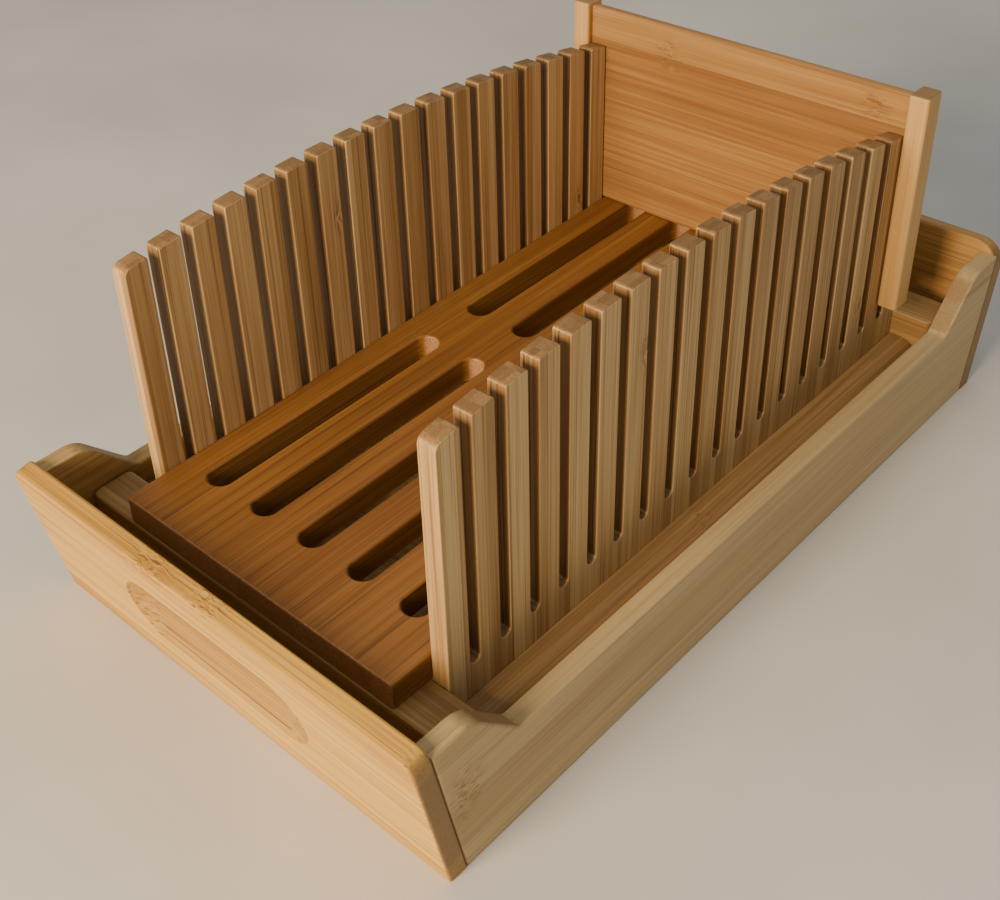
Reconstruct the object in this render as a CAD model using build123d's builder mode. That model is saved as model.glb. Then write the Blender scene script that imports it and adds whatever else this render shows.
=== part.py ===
from build123d import *
import math
import os

# Bread slicer guide in laminated bamboo: a crumb tray, a slicing frame that lifts out of it,
# and a backstop that drops into any pair of knife slots.
# Millimetres. X runs across the tray, Y from front to rear, Z up. The origin is on the
# surface that the tray stands on, under the middle of the object.

# Knife slots and slats
slot_pitch = 14.0
slot_count = 18
slot_width = 4.5
slot_floor_z = 43.0
end_slat_reach = 12.0  # from the middle of an end slot to the end of the panel

# Slat panels: a comb of slats under one long arch whose crown is forward of the middle
panel_thickness = 7.0
panel_inner_x = 64.0
panel_foot_z = 12.0
arch_radius = 720.0
arch_crown_y = -38.0
arch_crown_z = 140.2
panel_shoulder_radius = 3.5
slat_tip_ease = 0.7
panel_edge_ease = 0.5

# Base board with the crumb slots
base_thickness = 11.0
base_half_length = 147.5
base_edge_ease = 1.0
crumb_slot_width = 10.0
crumb_slot_pitch = 23.5
crumb_slots_across = 5
crumb_rows = 2
crumb_bridge = 22.0  # solid wood between the two rows
crumb_margin = 23.5  # solid wood between the end of a slot and the end of the board

# Crossbars and rails
crossbar_top_z = 40.5
crossbar_depth = 17.0
crossbar_outer_y = 148.0
crossbar_half_length = 87.2
crossbar_corner_radius = 3.0
crossbar_edge_ease = 0.8
rail_top_z = 30.0
rail_width = 12.5
rail_shoulder_radius = 8.0

# Crumb tray
tray_half_width = 95.4
wall_thickness = 7.5
wall_low_z = 40.0
wall_high_z = 59.3
wall_slope_foot_y = 127.0  # where the slope down meets the level of the low stretch
wall_slope_head_y = 146.3  # where it meets the level of the raised end
wall_shoulder_radius = 12.0
wall_hollow_radius = 4.0
board_thickness = 7.5
board_height = 62.0
board_foot_y = 159.5
board_lean = 11.0  # degrees outward
board_corner_radii = {"front": 5.0, "rear": 10.0}
board_edge_ease = 1.2
wall_edge_ease = 0.8
floor_thickness = 4.0
floor_underside_z = 4.0
floor_groove = 3.5

# Finger recess, scooped out of the outer face of the front board
recess_length = 88.0
recess_height = 31.0
recess_depth = 3.5
recess_middle = 31.5  # up the slope of the board

# Backstop
backstop_slot = 18  # the pair of slots it stands in, counted from the front
backstop_thickness = 3.6
backstop_top_z = 139.5
post_width = 7.7
post_depth = 10.0
post_top_z = 141.0
post_groove_depth = 5.0
post_edge_ease = 1.0
running_gap = 0.5

# Clearance under what stands on another piece that it lifts off
rest_gap = 0.2

# Hidden fixings
tray_dowel_diameter = 4.0
tray_dowel_in_board = 4.5
tray_dowel_in_wall = 11.5
tray_dowel_heights = (16.0, 32.0)
rail_dowel_diameter = 5.0
rail_dowel_half_length = 12.0
rail_dowel_heights = (14.5, 23.5)
screw_diameter = 3.5
screw_head_diameter = 7.0
screw_head_height = 2.2
screw_neck_step = 0.2  # how far the neck under the head stands out from the shank
base_screw_length = 26.0
base_screw_sink = 14.0  # depth of the counterbore under each head
base_screw_xs = (-45.0, 45.0)
panel_screw_length = 17.0
panel_screw_height = 17.0
panel_screw_ys = (-90.0, 0.0, 90.0)
peg_flutes = 8  # sides of the fluted dowels, and of the screws

# Worked out from the above
panel_outer_x = panel_inner_x + panel_thickness
first_slot_y = -slot_pitch * (slot_count - 1) / 2
panel_half_length = -first_slot_y + end_slat_reach
crossbar_inner_y = crossbar_outer_y - crossbar_depth
base_top_z = crossbar_top_z + base_thickness
rail_outer_x = panel_outer_x + rail_width
wall_inner_x = tray_half_width - wall_thickness
lean = math.radians(board_lean)
board_slant_height = board_height / math.cos(lean)
board_inner_foot_y = board_foot_y - board_thickness / math.cos(lean)
floor_top_z = floor_underside_z + floor_thickness
frame_foot_z = floor_top_z + rest_gap
floor_half_width = wall_inner_x + floor_groove
floor_half_length = board_inner_foot_y + floor_groove + 0.5
backstop_y = first_slot_y + slot_pitch * (backstop_slot - 1)
post_inner_x = panel_outer_x + running_gap
post_foot_z = base_top_z + rest_gap
backstop_half_length = post_inner_x + post_groove_depth

SIDES = (("left", -1), ("right", 1))
ENDS = (("front", -1), ("rear", 1))

os.makedirs("parts", exist_ok=True)


def arch_z(y):
    """Height of the panels' arched top edge at y."""
    run = y - arch_crown_y
    return arch_crown_z - arch_radius + math.sqrt(arch_radius**2 - run**2)


def end_board_plane(toward):
    """The outer face of an end board: local y runs up its slope, z points away from the tray."""
    outward = (0, toward * math.cos(lean), -math.sin(lean))
    return Plane(origin=(0, toward * board_foot_y, 0), x_dir=(-toward, 0, 0), z_dir=outward)


def tray_dowel_planes():
    """A plane at the joint of each tray dowel, square to the end board and facing outward."""
    planes = []
    for _, toward in ENDS:
        face = end_board_plane(toward)
        for x in (-wall_inner_x - wall_thickness / 2, wall_inner_x + wall_thickness / 2):
            for height in tray_dowel_heights:
                spot = face.from_local_coords(Vector(x, height, -board_thickness))
                planes.append(Plane(origin=spot, x_dir=face.x_dir, z_dir=face.z_dir))
    return planes


def rail_dowel_planes():
    """A plane at each joint of a rail and a crossbar, facing the crossbar."""
    return [
        Plane(
            origin=(side * (panel_outer_x + rail_width / 2), toward * crossbar_inner_y, height),
            x_dir=(1, 0, 0),
            z_dir=(0, toward, 0),
        )
        for _, side in SIDES
        for _, toward in ENDS
        for height in rail_dowel_heights
    ]


def base_screw_planes():
    """A plane at the top of each screw head under the crossbars, facing up."""
    head_z = frame_foot_z + base_screw_sink
    return [
        Plane(origin=(x, toward * (crossbar_inner_y + crossbar_depth / 2), head_z))
        for _, toward in ENDS
        for x in base_screw_xs
    ]


def panel_screw_planes(side):
    """A plane at the head of each screw in the outer face of a rail, facing inward."""
    return [
        Plane(origin=(side * rail_outer_x, y, panel_screw_height), x_dir=(0, 1, 0), z_dir=(-side, 0, 0))
        for y in panel_screw_ys
    ]


def add_pegs(planes, radius, depth, mode=Mode.ADD):
    """A fluted peg from each plane, as deep as depth along its normal; as holes, with mode SUBTRACT."""
    for plane in planes:
        with BuildSketch(plane) as section:
            RegularPolygon(radius, peg_flutes)
        extrude(section.sketch, amount=depth, mode=mode)


def add_screws(planes, length, mode=Mode.ADD):
    """Countersunk screws driven from each plane along its normal; as holes, with mode SUBTRACT."""
    neck_radius = screw_diameter / 2 + screw_neck_step
    flat_narrowing = (screw_head_diameter / 2 - neck_radius) * math.cos(math.pi / peg_flutes)
    countersink = math.degrees(math.atan(flat_narrowing / screw_head_height))
    for plane in planes:
        with BuildSketch(plane) as head:
            RegularPolygon(screw_head_diameter / 2, peg_flutes)
        extrude(head.sketch, amount=screw_head_height, taper=countersink, mode=mode)
        with BuildSketch(plane.offset(screw_head_height)) as shank:
            RegularPolygon(screw_diameter / 2, peg_flutes)
        extrude(shank.sketch, amount=length - screw_head_height, mode=mode)


def scoop_finger_recess(face):
    """Cut a shallow round-bottomed channel along X, with half a round bowl at each end."""
    rim = recess_height / 2
    reach = recess_length / 2 - rim
    radius = (rim**2 + recess_depth**2) / (2 * recess_depth)
    half_angle = math.asin(rim / radius) / 2
    halfway = (radius * math.sin(half_angle), radius - recess_depth - radius * math.cos(half_angle))
    middle = face.from_local_coords(Vector(0, recess_middle, 0))
    section = Plane(origin=middle, x_dir=face.y_dir, z_dir=face.x_dir)
    with BuildSketch(section.offset(-reach)) as channel:
        with BuildLine():
            ThreePointArc((-rim, 0), (0, -recess_depth), (rim, 0))
            Line((rim, 0), (-rim, 0))
        make_face()
    extrude(channel.sketch, amount=2 * reach, mode=Mode.SUBTRACT)
    for offset in (-reach, reach):
        bowl = section.offset(offset)
        with BuildSketch(bowl) as half_bowl:
            with BuildLine():
                ThreePointArc((0, -recess_depth), halfway, (rim, 0))
                Polyline((rim, 0), (0, 0), (0, -recess_depth))
            make_face()
        revolve(half_bowl.sketch, axis=Axis(bowl.origin, face.z_dir), mode=Mode.SUBTRACT)


def beside_slot(vertex):
    """Whether a vertex of the panel's outline is at the mouth of a knife slot."""
    offset = (vertex.X - first_slot_y + slot_pitch / 2) % slot_pitch - slot_pitch / 2
    return vertex.Y > base_top_z and abs(abs(offset) - slot_width / 2) < 0.01


def on_panel_rim(edge):
    """Whether an edge of a panel's broad face is on its outer outline above the base board."""
    middle = edge.center()
    at_end = abs(middle.Y) > panel_half_length - panel_shoulder_radius and middle.Z > base_top_z
    return at_end or middle.Z > arch_z(panel_half_length) - 1


# ---------------------------------------------------------------- crumb tray

with BuildPart() as tray_floor:
    with BuildSketch(Plane.XY.offset(floor_underside_z)):
        Rectangle(2 * floor_half_width, 2 * floor_half_length)
    extrude(amount=floor_thickness)
tray_floor.part.label = "tray_floor"
export_step(tray_floor.part, "parts/tray_floor.step")

for end, toward in ENDS:
    outer_face = end_board_plane(toward)
    with BuildPart() as end_board:
        with BuildSketch(outer_face):
            with Locations((0, board_slant_height / 2 - board_thickness)):
                Rectangle(2 * tray_half_width, board_slant_height + 2 * board_thickness)
            fillet(vertices().group_by(Axis.Y)[-1], board_corner_radii[end])
        extrude(amount=-board_thickness)
        split(bisect_by=Plane.XY, keep=Keep.TOP)
        broad_faces = end_board.faces().filter_by(Axis((0, 0, 0), outer_face.z_dir))
        chamfer(broad_faces.edges().filter_by(lambda e: e.center().Z > 1), board_edge_ease)
        if end == "front":
            scoop_finger_recess(outer_face)
        with BuildSketch(Plane.XY.offset(floor_underside_z)):
            Rectangle(2 * floor_half_width, 2 * floor_half_length)
        extrude(amount=floor_thickness, mode=Mode.SUBTRACT)
        add_pegs(tray_dowel_planes(), tray_dowel_diameter / 2, tray_dowel_in_board, Mode.SUBTRACT)
    end_board.part.label = f"tray_{end}_board"
    export_step(end_board.part, f"parts/tray_{end}_board.step")

for side, sign in SIDES:
    with BuildPart() as tray_wall:
        with BuildSketch(Plane.YZ.offset(sign * wall_inner_x)):
            head_y = board_inner_foot_y + wall_high_z * math.tan(lean)
            with BuildLine():
                Polyline(
                    (-board_inner_foot_y, 0),
                    (-head_y, wall_high_z),
                    (-wall_slope_head_y, wall_high_z),
                    (-wall_slope_foot_y, wall_low_z),
                    (wall_slope_foot_y, wall_low_z),
                    (wall_slope_head_y, wall_high_z),
                    (head_y, wall_high_z),
                    (board_inner_foot_y, 0),
                    close=True,
                )
            make_face()
            slope_ends = vertices().filter_by(lambda v: wall_slope_foot_y - 1 < abs(v.X) < wall_slope_head_y + 1)
            fillet(slope_ends.filter_by(lambda v: v.Y > wall_low_z + 1), wall_shoulder_radius)
            feet = vertices().filter_by(lambda v: abs(abs(v.X) - wall_slope_foot_y) < 0.01)
            fillet(feet, wall_hollow_radius)
        extrude(amount=sign * wall_thickness)
        top_edges = tray_wall.edges().filter_by(
            lambda e: e.center().Z > wall_low_z - 1 and abs(e.tangent_at(0.5).X) < 0.1
        )
        chamfer(top_edges, wall_edge_ease)
        with BuildSketch(Plane.XY.offset(floor_underside_z)):
            Rectangle(2 * floor_half_width, 2 * floor_half_length)
        extrude(amount=floor_thickness, mode=Mode.SUBTRACT)
        add_pegs(tray_dowel_planes(), tray_dowel_diameter / 2, -tray_dowel_in_wall, Mode.SUBTRACT)
    tray_wall.part.label = f"tray_{side}_wall"
    export_step(tray_wall.part, f"parts/tray_{side}_wall.step")

with BuildPart() as tray_corner_dowels:
    starts = [plane.offset(-tray_dowel_in_wall) for plane in tray_dowel_planes()]
    add_pegs(starts, tray_dowel_diameter / 2, tray_dowel_in_wall + tray_dowel_in_board)
tray_corner_dowels.part.label = "tray_corner_dowels"
export_step(tray_corner_dowels.part, "parts/tray_corner_dowels.step")

# ---------------------------------------------------------------- slicing frame

with BuildPart() as base_board:
    with BuildSketch(Plane.XY.offset(crossbar_top_z)):
        Rectangle(2 * panel_inner_x, 2 * base_half_length)
    extrude(amount=base_thickness)
    chamfer(base_board.faces().sort_by(Axis.Z)[-1].edges(), base_edge_ease)
    crumb_length = (2 * (base_half_length - crumb_margin) - crumb_bridge) / crumb_rows
    with BuildSketch(Plane.XY.offset(base_top_z)):
        with GridLocations(crumb_slot_pitch, crumb_length + crumb_bridge, crumb_slots_across, crumb_rows):
            SlotOverall(crumb_length, crumb_slot_width, rotation=90)
    extrude(amount=-base_thickness, mode=Mode.SUBTRACT)
    add_screws(base_screw_planes(), base_screw_length, Mode.SUBTRACT)
base_board.part.label = "base_board"
export_step(base_board.part, "parts/base_board.step")

for end, toward in ENDS:
    with BuildPart() as crossbar:
        with BuildSketch(Plane.XY.offset(frame_foot_z)):
            with Locations((0, toward * (crossbar_inner_y + crossbar_depth / 2))):
                Rectangle(2 * crossbar_half_length, crossbar_depth)
        extrude(amount=crossbar_top_z - frame_foot_z)
        fillet(crossbar.edges().filter_by(Axis.Z), crossbar_corner_radius)
        chamfer(crossbar.faces().sort_by(Axis.Z)[-1].edges(), crossbar_edge_ease)
        add_pegs(rail_dowel_planes(), rail_dowel_diameter / 2, rail_dowel_half_length, Mode.SUBTRACT)
        add_pegs(base_screw_planes(), screw_head_diameter / 2, -base_screw_sink, Mode.SUBTRACT)
        add_screws(base_screw_planes(), base_screw_length, Mode.SUBTRACT)
    crossbar.part.label = f"{end}_crossbar"
    export_step(crossbar.part, f"parts/{end}_crossbar.step")

for side, sign in SIDES:
    with BuildPart() as rail:
        with BuildSketch(Plane.XZ.offset(-crossbar_inner_y)):
            with BuildLine():
                shoulder_x = rail_outer_x - rail_shoulder_radius
                shoulder_z = rail_top_z - rail_shoulder_radius
                diagonal = rail_shoulder_radius * math.sqrt(0.5)
                Polyline(
                    (sign * rail_outer_x, shoulder_z),
                    (sign * rail_outer_x, frame_foot_z),
                    (sign * panel_outer_x, frame_foot_z),
                    (sign * panel_outer_x, rail_top_z),
                    (sign * shoulder_x, rail_top_z),
                )
                ThreePointArc(
                    (sign * shoulder_x, rail_top_z),
                    (sign * (shoulder_x + diagonal), shoulder_z + diagonal),
                    (sign * rail_outer_x, shoulder_z),
                )
            make_face()
        extrude(amount=2 * crossbar_inner_y)
        add_pegs(rail_dowel_planes(), rail_dowel_diameter / 2, -rail_dowel_half_length, Mode.SUBTRACT)
        add_screws(panel_screw_planes(sign), panel_screw_length, Mode.SUBTRACT)
    rail.part.label = f"{side}_rail"
    export_step(rail.part, f"parts/{side}_rail.step")

    with BuildPart() as slat_panel:
        with BuildSketch(Plane.YZ.offset(sign * panel_inner_x)):
            with BuildLine():
                ThreePointArc(
                    (-panel_half_length, arch_z(-panel_half_length)),
                    (arch_crown_y, arch_crown_z),
                    (panel_half_length, arch_z(panel_half_length)),
                )
                Polyline(
                    (panel_half_length, arch_z(panel_half_length)),
                    (panel_half_length, panel_foot_z),
                    (-panel_half_length, panel_foot_z),
                    (-panel_half_length, arch_z(-panel_half_length)),
                )
            make_face()
            fillet(vertices().filter_by(lambda v: v.Y > base_top_z), panel_shoulder_radius)
            tall = arch_crown_z - slot_floor_z
            for slot in range(slot_count):
                with Locations((first_slot_y + slot * slot_pitch, slot_floor_z + tall)):
                    SlotOverall(2 * tall, slot_width, rotation=90, mode=Mode.SUBTRACT)
            chamfer(vertices().filter_by(beside_slot), slat_tip_ease)
        extrude(amount=sign * panel_thickness)
        broad_faces = slat_panel.faces().filter_by(Axis.X)
        chamfer(broad_faces.edges().filter_by(on_panel_rim), panel_edge_ease)
        add_screws(panel_screw_planes(sign), panel_screw_length, Mode.SUBTRACT)
    slat_panel.part.label = f"{side}_slat_panel"
    export_step(slat_panel.part, f"parts/{side}_slat_panel.step")

    with BuildPart() as panel_screws:
        add_screws(panel_screw_planes(sign), panel_screw_length)
    panel_screws.part.label = f"{side}_panel_screws"
    export_step(panel_screws.part, f"parts/{side}_panel_screws.step")

with BuildPart() as rail_dowels:
    starts = [plane.offset(-rail_dowel_half_length) for plane in rail_dowel_planes()]
    add_pegs(starts, rail_dowel_diameter / 2, 2 * rail_dowel_half_length)
rail_dowels.part.label = "rail_dowels"
export_step(rail_dowels.part, "parts/rail_dowels.step")

with BuildPart() as base_screws:
    add_screws(base_screw_planes(), base_screw_length)
base_screws.part.label = "base_screws"
export_step(base_screws.part, "parts/base_screws.step")

# ---------------------------------------------------------------- backstop

with BuildPart() as backstop_board:
    with BuildSketch(Plane.XZ.offset(-backstop_y - backstop_thickness / 2)):
        with Locations((0, (post_foot_z + backstop_top_z) / 2)):
            Rectangle(2 * backstop_half_length, backstop_top_z - post_foot_z)
    extrude(amount=backstop_thickness)
    chamfer(backstop_board.edges().filter_by(Axis.X).group_by(Axis.Z)[-1], post_edge_ease)
backstop_board.part.label = "backstop_board"
export_step(backstop_board.part, "parts/backstop_board.step")

for side, sign in SIDES:
    with BuildPart() as post:
        with BuildSketch(Plane.XY.offset(post_foot_z)):
            with Locations((sign * (post_inner_x + post_width / 2), backstop_y)):
                Rectangle(post_width, post_depth)
        extrude(amount=post_top_z - post_foot_z)
        chamfer(post.faces().sort_by(Axis.Z)[-1].edges(), post_edge_ease)
        with BuildSketch(Plane.XY.offset(post_foot_z)):
            with Locations((0, backstop_y)):
                Rectangle(2 * backstop_half_length, backstop_thickness)
        extrude(amount=backstop_top_z - post_foot_z, mode=Mode.SUBTRACT)
    post.part.label = f"{side}_post"
    export_step(post.part, f"parts/{side}_post.step")
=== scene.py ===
"""Looks of a bread slicer guide in laminated bamboo.

A crumb tray, the slicing frame that drops into it and the backstop that drops into a pair of
knife slots. Sizes are in millimetres in the shared frame: X across the tray, Y from front to
rear, Z up. Meshes are made in metres.
"""

from __future__ import annotations

import logging
import math
from collections.abc import Sequence
from dataclasses import dataclass, field, replace
from enum import Enum
from typing import Any

import bmesh
import bpy
from mathutils import Matrix, Vector
from mathutils.geometry import tessellate_polygon

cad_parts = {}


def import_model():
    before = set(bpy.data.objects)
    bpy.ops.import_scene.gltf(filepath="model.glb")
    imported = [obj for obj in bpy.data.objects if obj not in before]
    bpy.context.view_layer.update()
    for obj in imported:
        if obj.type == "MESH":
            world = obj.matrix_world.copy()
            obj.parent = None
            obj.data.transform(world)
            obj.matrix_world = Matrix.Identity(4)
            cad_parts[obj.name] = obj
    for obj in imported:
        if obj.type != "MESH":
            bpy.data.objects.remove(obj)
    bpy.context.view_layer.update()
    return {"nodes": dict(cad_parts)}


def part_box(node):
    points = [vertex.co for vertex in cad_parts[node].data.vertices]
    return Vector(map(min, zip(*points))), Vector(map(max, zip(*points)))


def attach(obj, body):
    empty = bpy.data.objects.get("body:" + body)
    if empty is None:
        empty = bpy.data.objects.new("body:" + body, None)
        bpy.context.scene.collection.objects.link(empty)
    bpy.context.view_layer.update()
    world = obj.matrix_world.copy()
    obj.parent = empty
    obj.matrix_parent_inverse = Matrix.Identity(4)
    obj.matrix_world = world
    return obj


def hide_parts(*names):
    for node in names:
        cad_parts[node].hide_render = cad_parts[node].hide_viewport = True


log = logging.getLogger("bread_slicer_guide")

MM = 0.001
UP = Vector((0, 0, 1))
ACROSS = Vector((1, 0, 0))
ALONG = Vector((0, 1, 0))

MATH = "ShaderNodeMath"
VECTOR_MATH = "ShaderNodeVectorMath"
MAP_RANGE = "ShaderNodeMapRange"
MAPPING = "ShaderNodeMapping"
NOISE = "ShaderNodeTexNoise"
RAMP = "ShaderNodeValToRGB"
MIX = "ShaderNodeMix"
SPLIT = "ShaderNodeSeparateXYZ"
JOIN = "ShaderNodeCombineXYZ"
PLACE = "ShaderNodeTexCoord"
SURFACE = "ShaderNodeBsdfPrincipled"
OUTPUT = "ShaderNodeOutputMaterial"
# Sockets of a mix node in its colour mode
FACTOR, FROM_COLOUR, TO_COLOUR, MIXED = 0, 6, 7, 2

Tree = bpy.types.NodeTree
Socket = bpy.types.NodeSocket
Point = tuple[float, float]
Loop = list[Point]
Ring = list[bmesh.types.BMVert]


class Cut(Enum):
    """How a piece's outline lies to its grain, which always runs along the mesh's own X."""

    FACE = "outline on the broad face, with the grain along its first coordinate"
    SECTION = "outline across the grain, drawn out along it"


class Side(Enum):
    """The two sides of the guide, seen from the front."""

    LEFT = -1
    RIGHT = 1

    @property
    def word(self) -> str:
        """The side's name in the names of pieces."""
        return self.name.lower()


class End(Enum):
    """The two ends of the guide."""

    FRONT = -1
    REAR = 1

    @property
    def word(self) -> str:
        """The end's name in the names of pieces."""
        return self.name.lower()


# ------------------------------------------------------------------ colour and nodes


def linear(code: str) -> tuple[float, float, float, float]:
    """Turn an sRGB hex value to linear RGBA.

    Args:
        code: Six hex digits with a leading hash.

    Returns:
        Linear red, green and blue, and alpha 1.
    """
    values = [int(code[i : i + 2], 16) / 255 for i in (1, 3, 5)]
    bent = [v / 12.92 if v <= 0.04045 else ((v + 0.055) / 1.055) ** 2.4 for v in values]
    return (bent[0], bent[1], bent[2], 1.0)


def add_node(
    tree: Tree,
    kind: str,
    inputs: dict[int | str, Any] | None = None,
    **settings: Any,
) -> bpy.types.Node:
    """Add a node with its settings, socket values and links.

    Args:
        tree: The node tree that gets the node.
        kind: Blender's name for the node type.
        inputs: Socket index or name to a value, or to the output socket that feeds it.
        **settings: Attributes of the node itself, such as operation.

    Returns:
        The new node.
    """
    node = tree.nodes.new(kind)
    for key, value in settings.items():
        setattr(node, key, value)
    for key, value in (inputs or {}).items():
        if isinstance(value, Socket):
            tree.links.new(value, node.inputs[key])
        else:
            node.inputs[key].default_value = value
    return node


def set_ramp(node: bpy.types.Node, stops: Sequence[tuple[float, str]]) -> None:
    """Give a colour ramp its stops.

    Args:
        node: The colour ramp node.
        stops: Position and sRGB hex value of each stop.
    """
    elements = node.color_ramp.elements
    while len(elements) < len(stops):
        elements.new(0.5)
    for element, (position, code) in zip(elements, stops):
        element.position = position
        element.color = linear(code)


def empty_material(name: str) -> bpy.types.Material:
    """Make a material whose node tree is empty.

    Args:
        name: The material's name.

    Returns:
        The material.
    """
    made = bpy.data.materials.new(name)
    made.use_nodes = True
    made.node_tree.nodes.clear()
    return made


# ------------------------------------------------------------------ finishes


@dataclass(frozen=True)
class Knuckle:
    """A mark where the culm had a joint, with the fibres swirled and darkened round it.

    Attributes:
        along, across: Its place in the piece's own axes, in millimetres.
        reach, spread: Its half sizes along and across the grain, in millimetres.
    """

    along: float
    across: float
    reach: float
    spread: float


@dataclass(frozen=True)
class Scoop:
    """A hollow with half-round ends in the outer face, cut across the fibres.

    Attributes:
        reach: Half the length between the middles of its ends, in millimetres.
        rim: Its half height.
        across: Where its middle line lies across the grain.
        rim_width: Over how much of its rim its painted shade fades in.
        painted_shade_depth: How far the painted shade inside it goes towards the fibres' colour, from 0 to
            1.
    """

    reach: float
    rim: float
    across: float
    rim_width: float = 0.4
    painted_shade_depth: float = 0.5


@dataclass(frozen=True)
class LaminatedBamboo:
    """Bamboo strips glued side by side, planed, sanded fine and sealed with a thin satin oil.

    The sanding gives a soft, even sheen. The strips differ a little in tone, run in fine dark
    fibres, and show a knuckle where the culm had a joint.

    Attributes:
        name: The material's name.
        pale, honey, toast: sRGB hex values from the lightest streak to the darkest.
        fibre: sRGB hex value of the dark fibres and knuckles.
        end: sRGB hex value of the cut ends, which soak up more oil; the base board's is painted light.
        strip_mm: Width of a strip across the grain.
        layer_mm: Thickness of a layer of strips, chosen so that no layer ends in a board's face.
        first_strip: Where the first strip starts, in strips, off the middle of the piece.
        strip_contrast: How much the strips differ in tone.
        streak_contrast: How much the streaks within a strip differ in tone.
        fibre_depth: How dark the fibres show, from 0 to 1.
        shuffle_mm: How far the pattern moves from strip to strip.
        glue_mm: How far the dark of a glue line fades to each side.
        glue_depth: How dark a glue line shows, from 0 to 1.
        knuckles: Marks at stated places.
        knuckle_pitch_mm: Distance between the other knuckles along a strip.
        knuckle_reach_mm: Half the length of those.
        knuckle_depth: How dark those show, from 0 to 1.
        turn_mm: Length and width of the turns that the fibres take round a knuckle.
        wander_mm: Span of the noise that moves the fibres there, along, across and deep. They
            wander by about a quarter of it to each side.
        rough: Roughness of the oiled face.
        fibre_rough: How much rougher the open fibres are.
        relief_mm: How far the fibres stand below the sanded face.
        seed: Moves the pattern, so that no two pieces are alike.
        scoop: A hollow whose inside is painted darker, as painted shade in the recess.
        slot_shade_within_mm: How far from the middle along Y the faces turned that way are the
            walls of sawn slots, left a little rougher than the planed faces and painted darker as painted
            shade.
        slot_shade_depth: How dark that painted shade shows, from 0 to 1.
    """

    name: str
    pale: str = "#DFB660"
    honey: str = "#CC9E48"
    toast: str = "#AD7F35"
    fibre: str = "#7E552B"
    end: str = "#846B48"
    strip_mm: float = 21.0
    layer_mm: float = 8.0
    first_strip: float = 0.37
    strip_contrast: float = 0.3
    streak_contrast: float = 1.0
    fibre_depth: float = 0.5
    shuffle_mm: tuple[float, float, float] = (900.0, 90.0, 90.0)
    glue_mm: float = 0.3
    glue_depth: float = 0.2
    knuckles: tuple[Knuckle, ...] = ()
    knuckle_pitch_mm: float = 230.0
    knuckle_reach_mm: float = 6.0
    knuckle_depth: float = 0.6
    turn_mm: tuple[float, float] = (7.0, 3.0)
    wander_mm: tuple[float, float, float] = (24.0, 4.4, 4.4)
    rough: float = 0.47
    fibre_rough: float = 0.15
    relief_mm: float = 0.03
    seed: float = 0.0
    scoop: Scoop | None = None
    slot_shade_within_mm: float = 0.0
    slot_shade_depth: float = 0.6

    def material(self) -> bpy.types.Material:
        """Build the procedural material, or find it if a piece has it already.

        Returns:
            The material.
        """
        made = bpy.data.materials.get(self.name)
        if made:
            return made
        made = empty_material(self.name)
        tree = made.node_tree
        where = add_node(tree, PLACE).outputs
        mm = add_node(tree, MAPPING, {"Vector": where["Object"], "Scale": (1 / MM,) * 3}).outputs[0]
        chance, shuffled, glue = self._strips(tree, mm)
        swirl, swirled = self._swirl(tree, mm, chance, shuffled)
        wood = self._tone(tree, chance, shuffled, swirled)
        dark = self._dark_marks(tree, swirl, swirled, glue)
        painted_shades = []
        # Painted shade: the inside of the scoop and the walls of the slots go towards the fibres' colour
        if self.scoop:
            painted_shades.append(self._painted_scoop_shade(tree, mm, self.scoop))
        if self.slot_shade_within_mm:
            painted_shades.append(self._painted_slot_shade(tree, mm, where["Normal"]))
        for mark in painted_shades:
            dark = add_node(tree, MATH, {0: dark, 1: mark}, operation="ADD", use_clamp=True).outputs[0]
        face = add_node(
            tree,
            MIX,
            {FACTOR: dark, FROM_COLOUR: wood, TO_COLOUR: linear(self.fibre)},
            data_type="RGBA",
        ).outputs[MIXED]
        ends = self._cut_ends(tree, chance, shuffled)
        turned_out = add_node(tree, SPLIT, {"Vector": where["Normal"]}).outputs["X"]
        turned_out = add_node(tree, MATH, {0: turned_out}, operation="ABSOLUTE").outputs[0]
        cut = add_node(
            tree,
            MAP_RANGE,
            {"Value": turned_out, "From Min": 0.5, "From Max": 0.8},
            interpolation_type="SMOOTHSTEP",
        ).outputs["Result"]
        colour = add_node(
            tree, MIX, {FACTOR: cut, FROM_COLOUR: face, TO_COLOUR: ends}, data_type="RGBA"
        ).outputs[MIXED]
        rough = add_node(
            tree,
            MAP_RANGE,
            {"Value": dark, "To Min": self.rough, "To Max": self.rough + self.fibre_rough},
        ).outputs["Result"]
        bump = add_node(
            tree,
            "ShaderNodeBump",
            {"Height": dark, "Strength": 0.5, "Distance": self.relief_mm * MM},
            invert=True,
        ).outputs["Normal"]
        # Oiled wood has an IOR near 1.5, and the fine sanding scatters part of its shine
        shader = add_node(
            tree,
            SURFACE,
            {
                "Base Color": colour,
                "Roughness": rough,
                "Normal": bump,
                "IOR": 1.5,
                "Specular IOR Level": 0.3,
            },
        )
        add_node(tree, OUTPUT, {"Surface": shader.outputs["BSDF"]})
        return made

    @staticmethod
    def _drawn_out(tree: Tree, place: Socket, along: float, across: float, detail: float) -> bpy.types.Node:
        """Draw noise out along the grain.

        Args:
            tree: The material's node tree.
            place: The place that the noise is read at, in millimetres.
            along: Length of its streaks.
            across: Their width.
            detail: How many finer layers of noise it has.

        Returns:
            The noise node.
        """
        size = (1 / along, 1 / across, 1 / across)
        scaled = add_node(tree, MAPPING, {"Vector": place, "Scale": size}).outputs[0]
        return add_node(tree, NOISE, {"Vector": scaled, "Scale": 1.0, "Detail": detail})

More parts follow.
